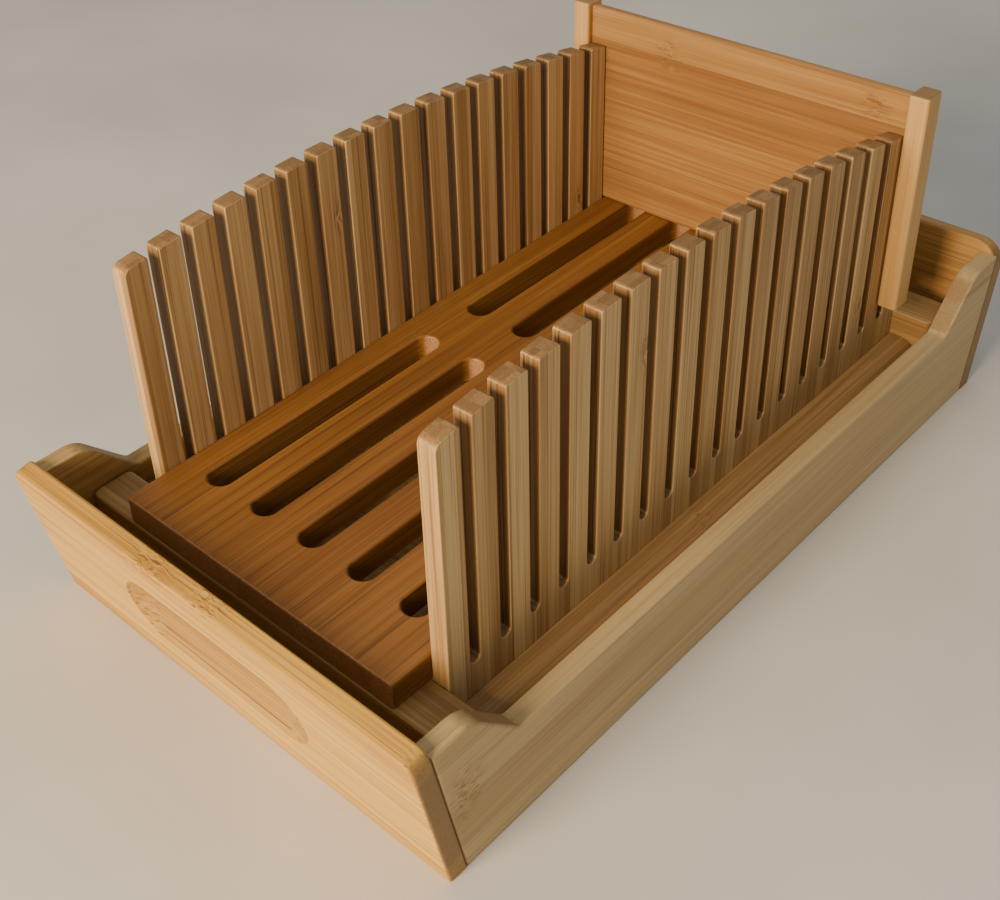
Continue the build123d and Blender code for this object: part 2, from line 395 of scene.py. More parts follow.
    def _strips(self, tree: Tree, mm: Socket) -> tuple[Socket, Socket, Socket]:
        """Part the piece into strips and layers, each with its own pattern.

        Args:
            tree: The material's node tree.
            mm: The place in the piece in millimetres, with the grain along X.

        Returns:
            A chance colour for each strip, the place moved by it, and how near a glue line is.
        """
        axes = add_node(tree, SPLIT, {"Vector": mm}).outputs
        strip = add_node(
            tree,
            MATH,
            {0: axes["Y"], 1: 1 / self.strip_mm, 2: self.first_strip + self.seed},
            operation="MULTIPLY_ADD",
        ).outputs[0]
        layer = add_node(
            tree, MATH, {0: axes["Z"], 1: 1 / self.layer_mm, 2: 0.5}, operation="MULTIPLY_ADD"
        ).outputs[0]
        which = add_node(
            tree,
            JOIN,
            {
                "X": add_node(tree, MATH, {0: strip}, operation="FLOOR").outputs[0],
                "Y": add_node(tree, MATH, {0: layer}, operation="FLOOR").outputs[0],
                "Z": self.seed,
            },
        ).outputs[0]
        chance = add_node(
            tree, "ShaderNodeTexWhiteNoise", {"Vector": which}, noise_dimensions="3D"
        ).outputs["Color"]
        shuffled = add_node(
            tree, VECTOR_MATH, {0: chance, 1: self.shuffle_mm, 2: mm}, operation="MULTIPLY_ADD"
        ).outputs[0]
        edge = add_node(tree, MATH, {0: strip, 1: 0.5}, operation="PINGPONG").outputs[0]
        glue = add_node(
            tree,
            MAP_RANGE,
            {
                "Value": edge,
                "From Min": self.glue_mm / self.strip_mm,
                "From Max": 0.0,
                "To Max": self.glue_depth,
            },
        ).outputs["Result"]
        return chance, shuffled, glue

    def _swirl(self, tree: Tree, mm: Socket, chance: Socket, shuffled: Socket) -> tuple[Socket, Socket]:
        """Swirl the fibres round knuckles: one along each strip, and those at stated places.

        Args:
            tree: The material's node tree.
            mm: The place in the piece in millimetres.
            chance: The strip's chance colour.
            shuffled: The place moved by it.

        Returns:
            How strong the swirl is, and the swirled place.
        """
        along = add_node(tree, SPLIT, {"Vector": mm}).outputs["X"]
        own = add_node(tree, SPLIT, {"Vector": chance}).outputs["X"]
        reach = add_node(
            tree, MATH, {0: along, 1: 1 / self.knuckle_pitch_mm, 2: own}, operation="MULTIPLY_ADD"
        ).outputs[0]
        reach = add_node(tree, MATH, {0: reach, 1: 0.5}, operation="PINGPONG").outputs[0]
        swirl = add_node(
            tree,
            MAP_RANGE,
            {
                "Value": reach,
                "From Min": self.knuckle_reach_mm / self.knuckle_pitch_mm,
                "From Max": 0.0,
                "To Max": self.knuckle_depth,
            },
            interpolation_type="SMOOTHSTEP",
        ).outputs["Result"]
        for knuckle in self.knuckles:
            off = add_node(
                tree,
                MAPPING,
                {
                    "Vector": mm,
                    "Location": (-knuckle.along / knuckle.reach, -knuckle.across / knuckle.spread, 0.0),
                    "Scale": (1 / knuckle.reach, 1 / knuckle.spread, 0.0),
                },
            ).outputs[0]
            distance = add_node(tree, VECTOR_MATH, {0: off}, operation="LENGTH").outputs["Value"]
            near = add_node(
                tree,
                MAP_RANGE,
                {"Value": distance, "From Min": 1.2, "From Max": 0.1},
                interpolation_type="SMOOTHSTEP",
            ).outputs["Result"]
            swirl = add_node(tree, MATH, {0: swirl, 1: near}, operation="MAXIMUM").outputs[0]
        turn = self._drawn_out(tree, mm, *self.turn_mm, detail=1.0).outputs["Color"]
        turn = add_node(tree, VECTOR_MATH, {0: turn, 1: (-0.5,) * 3}, operation="ADD").outputs[0]
        turn = add_node(tree, VECTOR_MATH, {0: turn, 1: self.wander_mm}, operation="MULTIPLY").outputs[0]
        swirled = add_node(
            tree, VECTOR_MATH, {0: turn, 1: swirl, 2: shuffled}, operation="MULTIPLY_ADD"
        ).outputs[0]
        return swirl, swirled

    def _tone(self, tree: Tree, chance: Socket, shuffled: Socket, swirled: Socket) -> Socket:
        """Colour each strip in its own tone, drifting along its length, with streaks of three widths.

        Args:
            tree: The material's node tree.
            chance: The strip's chance colour.
            shuffled: The place moved by it.
            swirled: The place swirled round knuckles.

        Returns:
            The wood's colour.
        """
        own = add_node(tree, SPLIT, {"Vector": chance}).outputs["Y"]
        tone = add_node(
            tree,
            MATH,
            {0: own, 1: self.strip_contrast, 2: 0.5 - self.strip_contrast / 2},
            operation="MULTIPLY_ADD",
        ).outputs[0]
        # Length and width in millimetres, and share of the tone
        for place, along, across, share in (
            (shuffled, 150.0, 30.0, 0.5),
            (swirled, 150.0, 3.2, 0.7 * self.streak_contrast),
            (swirled, 90.0, 1.1, 0.75 * self.streak_contrast),
            (swirled, 40.0, 0.5, 0.55 * self.streak_contrast),
        ):
            level = self._drawn_out(tree, place, along, across, detail=2.0).outputs[0]
            level = add_node(
                tree, MATH, {0: level, 1: share, 2: -share / 2}, operation="MULTIPLY_ADD"
            ).outputs[0]
            tone = add_node(tree, MATH, {0: tone, 1: level}, operation="ADD").outputs[0]
        wood = add_node(tree, RAMP, {"Fac": tone})
        set_ramp(wood, ((0.15, self.toast), (0.5, self.honey), (0.85, self.pale)))
        return wood.outputs["Color"]

    def _dark_marks(self, tree: Tree, swirl: Socket, swirled: Socket, glue: Socket) -> Socket:
        """Add up the dark fibres, the dashes in knuckles and the glue lines.

        Args:
            tree: The material's node tree.
            swirl: How strong the swirl is.
            swirled: The swirled place.
            glue: How near a glue line is.

        Returns:
            How far the wood goes towards the fibres' colour.
        """
        dark = glue
        dashes = add_node(tree, MATH, {0: swirl, 1: 0.85}, operation="MULTIPLY").outputs[0]
        # Length and width in millimetres, the noise where a mark starts and is full, and its share
        for along, across, low, high, share in (
            (110.0, 0.8, 0.56, 0.72, self.fibre_depth),
            (7.0, 0.55, 0.52, 0.62, dashes),
        ):
            lines = self._drawn_out(tree, swirled, along, across, detail=1.0).outputs[0]
            lines = add_node(
                tree,
                MAP_RANGE,
                {"Value": lines, "From Min": low, "From Max": high},
                interpolation_type="SMOOTHSTEP",
            ).outputs["Result"]
            dark = add_node(tree, MATH, {0: lines, 1: share, 2: dark}, operation="MULTIPLY_ADD").outputs[0]
        return add_node(tree, MATH, {0: dark, 1: 1.0}, operation="MINIMUM").outputs[0]

    def _painted_scoop_shade(self, tree: Tree, mm: Socket, scoop: Scoop) -> Socket:
        """Darken a scoop inside its rim, in the outer face, as painted shade.

        Args:
            tree: The material's node tree.
            mm: The place in the piece in millimetres.
            scoop: The scoop.

        Returns:
            How far the wood goes towards the fibres' colour.
        """
        axes = add_node(tree, SPLIT, {"Vector": mm}).outputs
        along = add_node(tree, MATH, {0: axes["X"]}, operation="ABSOLUTE").outputs[0]
        along = add_node(tree, MATH, {0: along, 1: scoop.reach}, operation="SUBTRACT").outputs[0]
        off = add_node(
            tree,
            JOIN,
            {
                "X": add_node(tree, MATH, {0: along, 1: 0.0}, operation="MAXIMUM").outputs[0],
                "Y": add_node(tree, MATH, {0: axes["Y"], 1: scoop.across}, operation="SUBTRACT").outputs[0],
            },
        ).outputs[0]
        distance = add_node(tree, VECTOR_MATH, {0: off}, operation="LENGTH").outputs["Value"]
        inside = add_node(
            tree,
            MAP_RANGE,
            {
                "Value": distance,
                "From Min": scoop.rim,
                "From Max": scoop.rim - scoop.rim_width,
                "To Max": scoop.painted_shade_depth,
            },
        ).outputs["Result"]
        outer = add_node(tree, MATH, {0: axes["Z"], 1: 0.0}, operation="GREATER_THAN").outputs[0]
        return add_node(tree, MATH, {0: inside, 1: outer}, operation="MULTIPLY").outputs[0]

    def _painted_slot_shade(self, tree: Tree, mm: Socket, normal: Socket) -> Socket:
        """Darken the walls of sawn slots with painted shade, apart from their eased edges.

        Args:
            tree: The material's node tree.
            mm: The place in the piece in millimetres.
            normal: The direction that the face is turned to.

        Returns:
            How far the wood goes towards the fibres' colour.
        """
        turned_across = add_node(tree, SPLIT, {"Vector": normal}).outputs["Y"]
        turned_across = add_node(tree, MATH, {0: turned_across}, operation="ABSOLUTE").outputs[0]
        wall = add_node(
            tree,
            MAP_RANGE,
            {"Value": turned_across, "From Min": 0.85, "From Max": 0.98, "To Max": self.slot_shade_depth},
        ).outputs["Result"]
        across = add_node(tree, SPLIT, {"Vector": mm}).outputs["Y"]
        across = add_node(tree, MATH, {0: across}, operation="ABSOLUTE").outputs[0]
        within = add_node(tree, MATH, {0: across, 1: self.slot_shade_within_mm}, operation="LESS_THAN").outputs[0]
        return add_node(tree, MATH, {0: wall, 1: within}, operation="MULTIPLY").outputs[0]

    def _cut_ends(self, tree: Tree, chance: Socket, shuffled: Socket) -> Socket:
        """Colour the cut ends: a tone to each layer, with the fibre bundles as fine dots.

        Args:
            tree: The material's node tree.
            chance: The strip's chance colour.
            shuffled: The place moved by it.

        Returns:
            The colour of the cut ends.
        """
        own = add_node(tree, SPLIT, {"Vector": chance}).outputs["Z"]
        share = add_node(tree, MATH, {0: own, 1: 0.4}, operation="MULTIPLY").outputs[0]
        ends = add_node(
            tree,
            MIX,
            {FACTOR: share, FROM_COLOUR: linear(self.end), TO_COLOUR: linear(self.honey)},
            data_type="RGBA",
        ).outputs[MIXED]
        # Fibre bundles are about 0.6 mm across
        dots = self._drawn_out(tree, shuffled, 90.0, 0.6, detail=0.0).outputs[0]
        dots = add_node(
            tree,
            MAP_RANGE,
            {"Value": dots, "From Min": 0.4, "From Max": 0.7, "To Max": 0.35},
            interpolation_type="SMOOTHSTEP",
        ).outputs["Result"]
        return add_node(
            tree,
            MIX,
            {FACTOR: dots, FROM_COLOUR: ends, TO_COLOUR: linear(self.fibre)},
            data_type="RGBA",
        ).outputs[MIXED]


# Turned beech dowels have no strips and no knuckles: one broad strip gives their straight grain
BEECH_DOWEL = LaminatedBamboo("turned_beech_dowel", strip_mm=40.0, knuckle_depth=0.0)


@dataclass(frozen=True)
class ZincPlatedSteel:
    """Steel screws, cold formed and zinc plated: bright, faintly blue, with fine roll marks."""

    name: str = "zinc_plated_steel"
    plate: str = "#C9CCCB"
    rough: float = 0.32
    roll_mark_mm: float = 0.3

    def material(self) -> bpy.types.Material:
        """Build the procedural material, or find it if a piece has it already.

        Returns:
            The material.
        """
        made = bpy.data.materials.get(self.name)
        if made:
            return made
        made = empty_material(self.name)
        tree = made.node_tree
        where = add_node(tree, PLACE).outputs["Object"]
        scale = 1 / (self.roll_mark_mm * MM)
        marks = add_node(tree, NOISE, {"Vector": where, "Scale": scale, "Detail": 2.0}).outputs[0]
        rough = add_node(
            tree, MAP_RANGE, {"Value": marks, "To Min": self.rough - 0.06, "To Max": self.rough + 0.1}
        ).outputs["Result"]
        shader = add_node(
            tree, SURFACE, {"Base Color": linear(self.plate), "Metallic": 1.0, "Roughness": rough}
        )
        add_node(tree, OUTPUT, {"Surface": shader.outputs["BSDF"]})
        return made


@dataclass(frozen=True)
class PaleSurface:
    """A honed pale composite surface, matt, with a faint cloudiness."""

    name: str = "honed_pale_counter"
    light: str = "#D6D4CD"
    shade: str = "#CBC8C0"
    rough: float = 0.6
    cloud_mm: float = 150.0

    def material(self) -> bpy.types.Material:
        """Build the procedural material.

        Returns:
            The material.
        """
        made = empty_material(self.name)
        tree = made.node_tree
        where = add_node(tree, PLACE).outputs["Object"]
        scale = 1 / (self.cloud_mm * MM)
        clouds = add_node(tree, NOISE, {"Vector": where, "Scale": scale, "Detail": 3.0}).outputs[0]
        ramp = add_node(tree, RAMP, {"Fac": clouds})
        set_ramp(ramp, ((0.35, self.shade), (0.65, self.light)))
        shader = add_node(
            tree, SURFACE, {"Base Color": ramp.outputs["Color"], "Roughness": self.rough}
        )
        add_node(tree, OUTPUT, {"Surface": shader.outputs["BSDF"]})
        return made


# ------------------------------------------------------------------ outlines and meshes


@dataclass(frozen=True)
class Corner:
    """A corner of an outline, in millimetres, and the radius that it is rounded to."""

    u: float
    v: float
    radius: float = 0.0


def rounded(corners: Sequence[Corner], steps: int = 7) -> Loop:
    """Turn corners with radii into an outline.

    Args:
        corners: The corners in order round the outline.
        steps: Straight steps in each rounded corner.

    Returns:
        The outline's points.
    """
    loop: Loop = []
    for i, corner in enumerate(corners):
        here = Vector((corner.u, corner.v))
        if corner.radius <= 0:
            loop.append((here.x, here.y))
            continue
        before, after = corners[i - 1], corners[(i + 1) % len(corners)]
        back = (Vector((before.u, before.v)) - here).normalized()
        on = (Vector((after.u, after.v)) - here).normalized()
        half = back.angle(on) / 2
        centre = here + (back + on).normalized() * corner.radius / math.sin(half)
        first = here + back * corner.radius / math.tan(half) - centre
        last = here + on * corner.radius / math.tan(half) - centre
        start = math.atan2(first.y, first.x)
        turn = (math.atan2(last.y, last.x) - start + math.pi) % (2 * math.pi) - math.pi
        for step in range(steps + 1):
            angle = start + turn * step / steps
            u = centre.x + corner.radius * math.cos(angle)
            v = centre.y + corner.radius * math.sin(angle)
            loop.append((u, v))
    return loop


def rectangle(width: float, height: float, radius: float = 0.0) -> Loop:
    """The outline of a rectangle about the origin, with rounded corners."""
    u, v = width / 2, height / 2
    return rounded([Corner(x, y, radius) for x, y in ((-u, -v), (u, -v), (u, v), (-u, v))])


def stadium(reach: float, radius: float, steps: int = 14) -> Loop:
    """The outline at one distance round a straight line.

    Args:
        reach: Half the length of the line, which lies along the first coordinate.
        radius: The distance from the line.
        steps: Straight steps in each half-round end.

    Returns:
        The outline's points.
    """
    loop: Loop = []
    for end in (1, -1):
        for step in range(steps + 1):
            angle = math.pi * (step / steps - 0.5)
            loop.append((end * (reach + radius * math.cos(angle)), end * radius * math.sin(angle)))
    return loop


def turned(loop: Loop, hole: bool) -> Loop:
    """The outline with its material on the left: anticlockwise, or clockwise round a hole."""
    area = sum(a[0] * b[1] - b[0] * a[1] for a, b in zip(loop, loop[1:] + loop[:1]))
    return loop if (area > 0) != hole else loop[::-1]


def inset(loop: Loop, distance: float) -> Loop:
    """Move an outline into its material.

    Args:
        loop: The outline, with its material on the left.
        distance: How far it moves.

    Returns:
        The moved outline, point for point.
    """
    moved: Loop = []
    for i, here in enumerate(loop):
        before, after = loop[i - 1], loop[(i + 1) % len(loop)]
        one = Vector((before[1] - here[1], here[0] - before[0])).normalized()
        two = Vector((here[1] - after[1], after[0] - here[0])).normalized()
        # The floor of 0.3 keeps the mitre of a sharp corner short
        mitre = (one + two) / max(1 + one.dot(two), 0.3)
        moved.append((here[0] + mitre.x * distance, here[1] + mitre.y * distance))
    return moved


@dataclass(frozen=True)
class Blank:
    """A piece of wood cut to an outline, with every edge eased round.

    Attributes:
        outer: The outline in millimetres.
        thickness: Its size square to the outline.
        ease: The radius of the eased edges.
        holes: Outlines of holes right through.
        dish: Rings of a shallow dish in the upper face, from its rim inward, each an outline
            and its depth.
        cut: How the outline lies to the grain.
        steps: Straight steps across an eased edge.
        crease_degrees: The sharpest turn between faces that still looks round.
    """

    outer: Loop
    thickness: float
    ease: float
    holes: tuple[Loop, ...] = ()
    dish: tuple[tuple[Loop, float], ...] = ()
    cut: Cut = Cut.FACE
    steps: int = 4
    crease_degrees: float = 40.0

    def mesh(self, name: str) -> bpy.types.Mesh:
        """Build the closed mesh in metres, with the grain along its own X.

        Args:
            name: The mesh's name.

        Returns:
            The mesh.
        """
        made = bmesh.new()
        loops = [turned(self.outer, False), *(turned(hole, True) for hole in self.holes)]
        rings = self._profile()
        caps: dict[int, list[Ring]] = {0: [], -1: []}
        crisp: list[Ring] = []
        for loop in loops:
            rows = [self._row(made, inset(loop, back), height) for back, height in rings]
            for low, high in zip(rows, rows[1:]):
                self._band(made, low, high)
            caps[0].append(rows[0])
            caps[-1].append(rows[-1])
        if self.dish:
            top = self.thickness / 2
            rows = [self._row(made, turned(loop, True), top - depth) for loop, depth in self.dish]
            for outside, inside in zip(rows, rows[1:]):
                self._band(made, outside, inside)
            self._fill(made, [rows[-1]])
            caps[-1].append(rows[0])
            crisp.append(rows[1])
        for rows in caps.values():
            self._fill(made, rows)
        bmesh.ops.recalc_face_normals(made, faces=made.faces[:])
        for face in made.faces:
            face.smooth = True
        crease = math.radians(self.crease_degrees)
        for edge in made.edges:
            if len(edge.link_faces) == 2 and edge.calc_face_angle() > crease:
                edge.smooth = False
        for row in crisp:
            for one, two in zip(row, row[1:] + row[:1]):
                made.edges.get((one, two)).smooth = False
        mesh = bpy.data.meshes.new(name)
        made.to_mesh(mesh)
        made.free()
        return mesh

    def _profile(self) -> list[tuple[float, float]]:
        """Place the rings of the eased edge, from the lower face to the upper.

        Returns:
            How far in each ring lies, and how high.
        """
        half = self.thickness / 2
        angles = [math.pi / 2 * step / self.steps for step in range(self.steps + 1)]
        low = [
            (self.ease * (1 - math.sin(a)), -half + self.ease * (1 - math.cos(a))) for a in angles
        ]
        return low + [(back, -height) for back, height in reversed(low)]

    def _row(self, made: bmesh.types.BMesh, loop: Loop, height: float) -> Ring:
        """Add a ring of vertices.

        Args:
            made: The mesh being built.
            loop: The ring's outline, in millimetres.
            height: Its height over the outline's plane.

        Returns:
            The vertices in order.
        """
        if self.cut is Cut.FACE:
            places = [(u, v, height) for u, v in loop]
        else:
            places = [(height, u, v) for u, v in loop]
        return [made.verts.new(Vector(place) * MM) for place in places]

    @staticmethod
    def _band(made: bmesh.types.BMesh, one: Ring, two: Ring) -> None:
        """Join two rings with four-sided faces.

        Args:
            made: The mesh being built.
            one: The vertices of a ring.
            two: As many of the next ring.
        """
        for i in range(len(one)):
            j = (i + 1) % len(one)
            made.faces.new((one[i], one[j], two[j], two[i]))

    @staticmethod
    def _fill(made: bmesh.types.BMesh, rows: list[Ring]) -> None:
        """Fill a flat face.

        Args:
            made: The mesh being built.
            rows: The rings that bound it, the outer one first.
        """
        every = [vert for row in rows for vert in row]
        for triangle in tessellate_polygon([[vert.co for vert in row] for row in rows]):
            corners = [every[i] for i in triangle]
            if not made.faces.get(corners):
                made.faces.new(corners)


def placed(
    mesh: bpy.types.Mesh, grain: Vector, across: Vector, centre: Sequence[float]
) -> bpy.types.Object:
    """Put a mesh into the shared frame.

    Args:
        mesh: The mesh, with the grain along its own X.
        grain: The direction that its grain takes.
        across: The direction that its own Y takes.
        centre: Where its origin goes, in millimetres.

    Returns:
        The object, linked to the scene.
    """
    made = bpy.data.objects.new(mesh.name, mesh)
    bpy.context.scene.collection.objects.link(made)
    turn = Matrix((grain, across, grain.cross(across))).transposed().to_4x4()
    made.matrix_world = Matrix.Translation(Vector(centre) * MM) @ turn
    weighted = made.modifiers.new("flat_faces_stay_flat", "WEIGHTED_NORMAL")
    weighted.keep_sharp = True
    return made


def carved(piece: bpy.types.Object, tool: bpy.types.Mesh, matrix: Matrix) -> None:
    """Cut a tool's shape out of a piece and drop the tool.

    Args:
        piece: The piece to cut.
        tool: The tool's closed mesh.
        matrix: Where the tool stands.
    """
    cutter = bpy.data.objects.new(tool.name, tool)
    bpy.context.scene.collection.objects.link(cutter)
    cutter.matrix_world = matrix
    cut = piece.modifiers.new("groove", "BOOLEAN")
    cut.object = cutter
    cut.solver = "EXACT"
    piece.modifiers.move(len(piece.modifiers) - 1, 0)
    others = [m for m in piece.modifiers if m != cut]
    for other in others:
        other.show_viewport = False
    bpy.context.view_layer.update()
    whole = piece.evaluated_get(bpy.context.evaluated_depsgraph_get())
    piece.data = bpy.data.meshes.new_from_object(whole)
    piece.modifiers.remove(cut)
    for other in others:
        other.show_viewport = True
    bpy.data.objects.remove(cutter)


def sawn_flat(piece: bpy.types.Object) -> None:
    """Saw a piece off level with the surface that the tray stands on, and close the cut.

    Args:
        piece: The piece, in place.
    """
    made = bmesh.new()
    made.from_mesh(piece.data)
    inverse = piece.matrix_world.inverted()
    normal = (inverse.to_3x3() @ -UP).normalized()
    bmesh.ops.bisect_plane(
        made,
        geom=made.verts[:] + made.edges[:] + made.faces[:],
        plane_co=inverse.translation,
        plane_no=normal,
        clear_outer=True,
    )
    rim = [edge for edge in made.edges if edge.is_boundary]
    bmesh.ops.contextual_create(made, geom=rim)
    for edge in rim:
        edge.smooth = False
    bmesh.ops.recalc_face_normals(made, faces=made.faces[:])
    made.to_mesh(piece.data)
    made.free()


@dataclass
class SubAssembly:
    """Pieces that move together on one CAD body.

    Attributes:
        body: The CAD body's name.
        made: The pieces made so far.
    """

    body: str
    made: list[bpy.types.Object] = field(default_factory=list)

    def seat(self, piece: bpy.types.Object, node: str, slot: str, finish: LaminatedBamboo) -> None:
        """Let a new piece stand for its CAD node, in its finish.

        Args:
            piece: The piece, in place.
            node: The CAD node that it stands for.
            slot: The record's material slot; not used.
            finish: Its finish.
        """
        piece.data.materials.clear()
        piece.data.materials.append(finish.material())
        bpy.context.view_layer.update()
        low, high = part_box(node)
        corners = [piece.matrix_world @ vertex.co for vertex in piece.data.vertices]
        gap = max(
            max(abs(min(c[i] for c in corners) - low[i]), abs(max(c[i] for c in corners) - high[i]))
            for i in range(3)
        )
        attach(piece, self.body)
        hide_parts(node)
        self.made.append(piece)
        log.info("%s stands for %s, within %.2f mm", piece.name, node, gap / MM)

    def dress(self, node: str, finish: LaminatedBamboo | ZincPlatedSteel) -> None:
        """Give a CAD node that is shown as it is its finish.

        Args:
            node: The CAD node's name.
            finish: Its finish.
        """
        shown = bpy.data.objects[node]
        shown.data.materials.clear()
        shown.data.materials.append(finish.material())
        self.made.append(shown)
        log.info("%s keeps its CAD shape, in %s", node, finish.name)


# ------------------------------------------------------------------ crumb tray


@dataclass
class CrumbTray(SubAssembly):
    """The open tray that catches the crumbs and carries the slicing frame."""

    body: str = "crumb_tray"
    half_width: float = 95.4
    wall_thickness: float = 7.5
    low_z: float = 40.0
    high_z: float = 59.3
    slope_foot_y: float = 127.0
    slope_head_y: float = 146.3
    shoulder_radius: float = 12.0
    hollow_radius: float = 4.0
    board_thickness: float = 7.5
    board_height: float = 62.0
    board_foot_y: float = 159.5
    lean_degrees: float = 11.0
    front_corner_radius: float = 5.0
    rear_corner_radius: float = 10.0
    board_ease: float = 1.1
    wall_ease: float = 1.0
    recess_length: float = 88.0
    recess_height: float = 31.0
    recess_depth: float = 3.5
    recess_middle: float = 31.5
    # Where the rings of the recess lie, as shares of its half height: close together at the rim
    recess_shares: tuple[float, ...] = (
        1.012, 0.995, 0.975, 0.94, 0.88, 0.8, 0.7, 0.58, 0.44, 0.3, 0.16, 0.04
    )
    front_board_finish: LaminatedBamboo = LaminatedBamboo(
        "flat_pressed_bamboo_tray_board",
        seed=1.3,
        strip_mm=23.0,
        streak_contrast=1.15,
        fibre_depth=0.6,
        knuckles=(
            Knuckle(along=-21.0, across=62.5, reach=13.0, spread=6.0),
            Knuckle(along=7.0, across=62.5, reach=9.0, spread=3.0),
        ),
        knuckle_depth=0.15,
    )
    # Painted shade: tones darker than the front board's, standing for the shade on its inner face
    rear_board_painted_shade_finish: LaminatedBamboo = LaminatedBamboo(
        "flat_pressed_bamboo_tray_rear_board",
        pale="#CFA465",
        honey="#BA8B49",
        toast="#9C6E36",
        seed=2.6,
        strip_mm=23.0,
    )
    right_wall_finish: LaminatedBamboo = LaminatedBamboo(
        "flat_pressed_bamboo_tray_wall",
        pale="#CAB387",
        honey="#BAA070",
        toast="#A18758",
        seed=4.1,
        strip_mm=20.0,
        strip_contrast=0.18,
        streak_contrast=0.6,
        fibre_depth=0.28,
        knuckles=(Knuckle(along=-151.0, across=33.0, reach=9.0, spread=15.0),),
        knuckle_depth=0.12,
    )
    left_wall_finish: LaminatedBamboo = LaminatedBamboo(
        "flat_pressed_bamboo_tray_left_wall",
        pale="#CCAC73",
        honey="#B9975D",
        toast="#9E7C46",
        seed=5.2,
        strip_mm=20.0,
    )
    floor_finish: LaminatedBamboo = LaminatedBamboo(
        "bamboo_ply_tray_floor",
        pale="#CCAC73",
        honey="#B9975D",
        toast="#9E7C46",
        seed=7.7,
        strip_mm=18.0,
    )

    @property
    def lean(self) -> float:
        """How far the end boards lean out, in radians."""
        return math.radians(self.lean_degrees)

    @property
    def scoop(self) -> Scoop:
        """The finger recess, as the board's mesh and its finish take it."""
        rim = self.recess_height / 2
        return Scoop(self.recess_length / 2 - rim, rim, self.recess_middle)

    def build(self) -> None:
        """Build and dress every piece of the tray."""
        for end in End:
            self.end_board(end)
        for side in Side:
            self.wall(side)
        self.dress("tray_floor", self.floor_finish)
        self.dress("tray_corner_dowels", BEECH_DOWEL)

    def end_board(self, end: End) -> None:
        """Build a leaning end board; the front one has the scooped finger recess.

        Args:
            end: The end of the tray that it closes.
        """
        front = end is End.FRONT
        toward = end.value
        height = self.board_height / math.cos(self.lean)
        radius = self.front_corner_radius if front else self.rear_corner_radius
        # The board starts below the tray's foot, and is sawn off level with it once it leans
        foot = -3 * self.board_thickness
        outline = rounded(
            [
                Corner(-self.half_width, foot),
                Corner(self.half_width, foot),
                Corner(self.half_width, height, radius),
                Corner(-self.half_width, height, radius),
            ]
        )
        dish = self.recess_rings() if front else ()
        blank = Blank(outline, self.board_thickness, self.board_ease, dish=dish)
        outward = Vector((0, toward * math.cos(self.lean), -math.sin(self.lean)))
        grain = ACROSS * -toward
        slope = outward.cross(grain)
        centre = Vector((0, toward * self.board_foot_y, 0)) - outward * self.board_thickness / 2
        board = placed(blank.mesh(f"{end.word}_end_board_of_tray"), grain, slope, centre)
        sawn_flat(board)
        # The front board's finish paints shade inside the finger recess
        scooped = replace(self.front_board_finish, scoop=self.scoop)
        finish = scooped if front else self.rear_board_painted_shade_finish
        self.seat(board, f"tray_{end.word}_board", "tray_bamboo", finish)

    def recess_rings(self) -> tuple[tuple[Loop, float], ...]:
        """Lay out the finger recess: a round-bottomed scoop with bowl ends.

        Returns:
            Its rings from the rim inward, each an outline and its depth.
        """
        scoop = self.scoop
        radius = (scoop.rim**2 + self.recess_depth**2) / (2 * self.recess_depth)
        rings: list[tuple[Loop, float]] = []
        for share in self.recess_shares:
            out = scoop.rim * share
            sunk = math.sqrt(radius**2 - out**2) - (radius - self.recess_depth)
            depth = max(0.0, sunk) if share < 1 else 0.0
            rings.append(([(u, v + scoop.across) for u, v in stadium(scoop.reach, out)], depth))
        return tuple(rings)

    def wall(self, side: Side) -> None:
        """Build a side wall, low along the middle and swept up to the end boards.

        Args:
            side: The side of the tray that it closes.
        """
        foot = self.board_foot_y - self.board_thickness / math.cos(self.lean)
        head = foot + self.high_z * math.tan(self.lean)
        rear_half = [
            Corner(foot, 0),
            Corner(head, self.high_z),
            Corner(self.slope_head_y, self.high_z, self.shoulder_radius),
            Corner(self.slope_foot_y, self.low_z, self.hollow_radius),
        ]
        front_half = [Corner(-c.u, c.v, c.radius) for c in reversed(rear_half)]
        blank = Blank(rounded(rear_half + front_half, steps=9), self.wall_thickness, self.wall_ease)
        x = side.value * (self.half_width - self.wall_thickness / 2)
        wall = placed(blank.mesh(f"{side.word}_side_wall_of_tray"), ALONG, UP, (x, 0, 0))
        finish = self.right_wall_finish if side is Side.RIGHT else self.left_wall_finish
        self.seat(wall, f"tray_{side.word}_wall", "tray_bamboo", finish)


# ------------------------------------------------------------------ slicing frame


